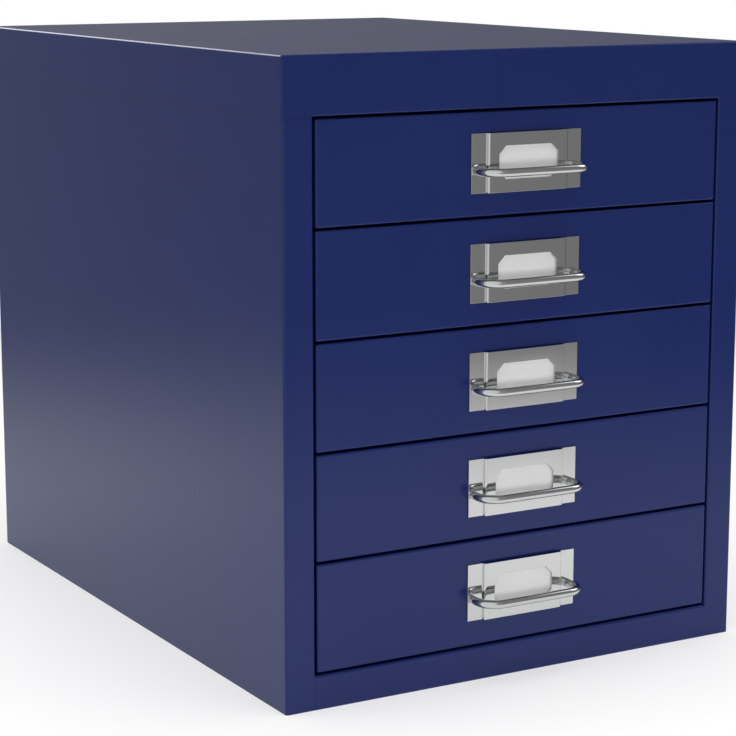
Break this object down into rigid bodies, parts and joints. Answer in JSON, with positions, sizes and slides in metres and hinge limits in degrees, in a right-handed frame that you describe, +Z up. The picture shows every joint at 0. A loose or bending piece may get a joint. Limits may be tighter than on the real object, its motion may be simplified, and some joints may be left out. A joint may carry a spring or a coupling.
{
  "type": "desktop drawer cabinet",
  "caption": "Small desktop cabinet of shallow sheet steel drawers on runners, each front with a chrome label plate and a rod handle.",
  "frame": {"origin": "middle of the underside, on the surface that the cabinet stands on, centred on the casing", "axes": "+X to the right seen from the front, +Y to the back, +Z up; the drawers face and open along -Y"},
  "size_m": [0.279, 0.3962, 0.325],
  "materials": {
    "blue_paint": "smooth semi-gloss stoved paint, dark blue",
    "chrome": "bright plated",
    "white_card": "blank matt card",
    "zinc_steel": "zinc plated",
    "nylon": "natural nylon, matt",
    "rubber": "black rubber"
  },
  "bodies": {
    "cabinet": {"left_side": "blue_paint", "right_side": "blue_paint", "back_panel": "blue_paint", "base_pan": "blue_paint", "bottom_rail": "blue_paint", "lid": "blue_paint", "rear_buffers": "rubber", "left_runner_1": "blue_paint", "left_runner_2": "blue_paint", "left_runner_3": "blue_paint", "left_runner_4": "blue_paint", "left_runner_5": "blue_paint", "right_runner_1": "blue_paint", "right_runner_2": "blue_paint", "right_runner_3": "blue_paint", "right_runner_4": "blue_paint", "right_runner_5": "blue_paint"},
    "drawer_1": {"drawer_front_1": "blue_paint", "drawer_tray_1": "blue_paint", "stop_blocks_1": "nylon", "handle_plate_1": "chrome", "label_card_1": "white_card", "bail_handle_1": "chrome", "bail_nuts_1": "zinc_steel"},
    "drawer_2": {"drawer_front_2": "blue_paint", "drawer_tray_2": "blue_paint", "stop_blocks_2": "nylon", "handle_plate_2": "chrome", "label_card_2": "white_card", "bail_handle_2": "chrome", "bail_nuts_2": "zinc_steel"},
    "drawer_3": {"drawer_front_3": "blue_paint", "drawer_tray_3": "blue_paint", "stop_blocks_3": "nylon", "handle_plate_3": "chrome", "label_card_3": "white_card", "bail_handle_3": "chrome", "bail_nuts_3": "zinc_steel"},
    "drawer_4": {"drawer_front_4": "blue_paint", "drawer_tray_4": "blue_paint", "stop_blocks_4": "nylon", "handle_plate_4": "chrome", "label_card_4": "white_card", "bail_handle_4": "chrome", "bail_nuts_4": "zinc_steel"},
    "drawer_5": {"drawer_front_5": "blue_paint", "drawer_tray_5": "blue_paint", "stop_blocks_5": "nylon", "handle_plate_5": "chrome", "label_card_5": "white_card", "bail_handle_5": "chrome", "bail_nuts_5": "zinc_steel"}
  },
  "joints": [
    {"name": "drawer_1_slide", "type": "slide", "parent": "cabinet", "child": "drawer_1", "axis": [0, -1, 0], "range_m": [0, 0.3]},
    {"name": "drawer_2_slide", "type": "slide", "parent": "cabinet", "child": "drawer_2", "axis": [0, -1, 0], "range_m": [0, 0.3]},
    {"name": "drawer_3_slide", "type": "slide", "parent": "cabinet", "child": "drawer_3", "axis": [0, -1, 0], "range_m": [0, 0.3]},
    {"name": "drawer_4_slide", "type": "slide", "parent": "cabinet", "child": "drawer_4", "axis": [0, -1, 0], "range_m": [0, 0.3]},
    {"name": "drawer_5_slide", "type": "slide", "parent": "cabinet", "child": "drawer_5", "axis": [0, -1, 0], "range_m": [0, 0.3]}
  ]
}
